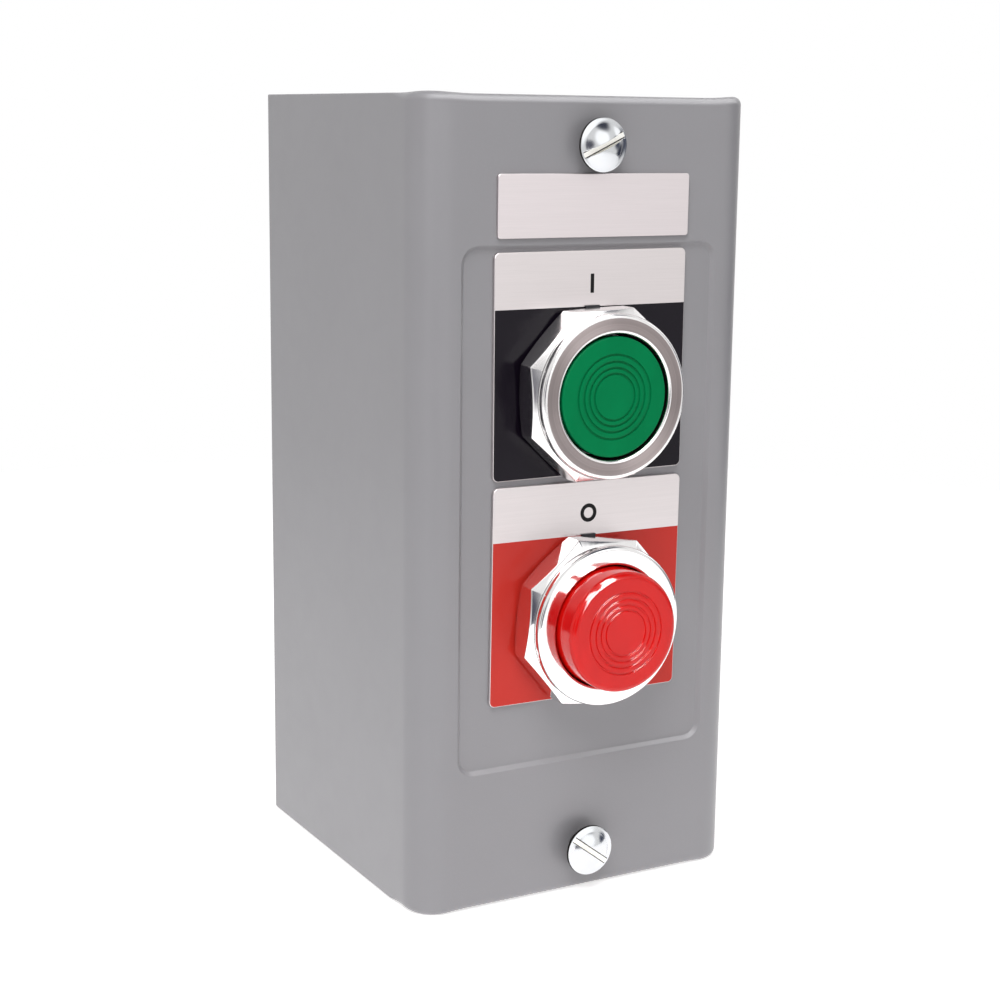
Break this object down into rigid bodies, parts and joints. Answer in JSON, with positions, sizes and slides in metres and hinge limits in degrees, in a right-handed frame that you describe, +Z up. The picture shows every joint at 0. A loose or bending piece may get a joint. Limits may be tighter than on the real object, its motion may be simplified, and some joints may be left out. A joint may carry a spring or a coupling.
{
  "type": "two-button control station",
  "caption": "Wall-mounted sheet-metal control station with a flush green start button and an extended red stop button in octagonal chrome ring nuts.",
  "frame": {"origin": "middle of the enclosure's back face, where the four wall-mounting holes are centred", "axes": "+Z up along the enclosure's height, +Y into the wall, +X to the right as seen from the front; the buttons face -Y"},
  "size_m": [0.094, 0.11, 0.202],
  "materials": {
    "grey_enamel": "semi-gloss baked enamel on sheet steel",
    "zinc_screw": "bright zinc plate with a slight blue tint",
    "nylon": "natural moulded nylon",
    "nameplate_aluminium": "satin aluminium foil plate",
    "ground_green": "green ground screw",
    "brass": "plain brass",
    "start_legend": "brushed aluminium band above a black enamel field",
    "stop_legend": "brushed aluminium band above a red enamel field",
    "green_button": "moulded green button, satin gloss",
    "red_button": "moulded red button, satin gloss",
    "blackened_steel": "blackened steel",
    "chrome": "chrome plate, the bezel's front face satin turned",
    "rubber": "black nitrile rubber",
    "die_cast_zinc": "zinc die casting, dull grey",
    "spring_steel": "drawn spring wire",
    "black_phenolic": "moulded black phenolic",
    "grey_cover_plastic": "moulded grey plastic",
    "copper_alloy": "copper alloy with silver contact tips"
  },
  "bodies": {
    "enclosure": {"cover": "grey_enamel", "base": "grey_enamel", "cover_screws": "zinc_screw", "screw_retainers": "nylon", "nameplate": "nameplate_aluminium", "top_knockout": "grey_enamel", "bottom_knockout_ring": "grey_enamel", "ground_screw": "ground_green", "ground_washer": "brass", "start_legend_plate": "start_legend", "start_locating_washer": "blackened_steel", "start_ring_nut": "chrome", "start_panel_gasket": "rubber", "start_bushing": "die_cast_zinc", "start_diaphragm": "rubber", "start_return_spring": "spring_steel", "start_spring_seat": "black_phenolic", "start_retaining_ring": "spring_steel", "start_block_housing": "black_phenolic", "start_block_cover": "grey_cover_plastic", "start_carrier_spring": "spring_steel", "start_fixed_contacts": "brass", "start_terminal_screws": "zinc_screw", "start_wire_clamps": "zinc_screw", "start_block_screws": "zinc_screw", "stop_legend_plate": "stop_legend", "stop_locating_washer": "blackened_steel", "stop_ring_nut": "chrome", "stop_panel_gasket": "rubber", "stop_bushing": "die_cast_zinc", "stop_diaphragm": "rubber", "stop_return_spring": "spring_steel", "stop_spring_seat": "black_phenolic", "stop_retaining_ring": "spring_steel", "stop_block_housing": "black_phenolic", "stop_block_cover": "grey_cover_plastic", "stop_carrier_spring": "spring_steel", "stop_fixed_contacts": "brass", "stop_terminal_screws": "zinc_screw", "stop_wire_clamps": "zinc_screw", "stop_block_screws": "zinc_screw"},
    "start_button": {"start_cap": "green_button", "start_plunger": "nylon"},
    "start_contacts": {"start_contact_carrier": "nylon", "start_contact_bridges": "copper_alloy", "start_contact_springs": "spring_steel"},
    "stop_button": {"stop_cap": "red_button", "stop_plunger": "nylon"},
    "stop_contacts": {"stop_contact_carrier": "nylon", "stop_contact_bridges": "copper_alloy", "stop_contact_springs": "spring_steel"}
  },
  "joints": [
    {"name": "start_press", "type": "slide", "parent": "enclosure", "child": "start_button", "axis": [0, 1, 0], "range_m": [0, 0.005], "stiffness_N_per_m": 1000, "springref_m": -0.004, "deforming": ["start_return_spring", "start_diaphragm"]},
    {"name": "stop_press", "type": "slide", "parent": "enclosure", "child": "stop_button", "axis": [0, 1, 0], "range_m": [0, 0.005], "stiffness_N_per_m": 1000, "springref_m": -0.004, "deforming": ["stop_return_spring", "stop_diaphragm"]},
    {"name": "start_contacts_follow", "type": "slide", "parent": "enclosure", "child": "start_contacts", "axis": [0, 1, 0], "range_m": [0, 0.005], "stiffness_N_per_m": 200, "springref_m": -0.004, "deforming": ["start_carrier_spring"]},
    {"name": "stop_contacts_follow", "type": "slide", "parent": "enclosure", "child": "stop_contacts", "axis": [0, 1, 0], "range_m": [0, 0.005], "stiffness_N_per_m": 200, "springref_m": -0.004, "deforming": ["stop_carrier_spring"]}
  ],
  "couplings": [
    {"joint": "start_contacts_follow", "follows": "start_press", "ratio": 1},
    {"joint": "stop_contacts_follow", "follows": "stop_press", "ratio": 1}
  ]
}
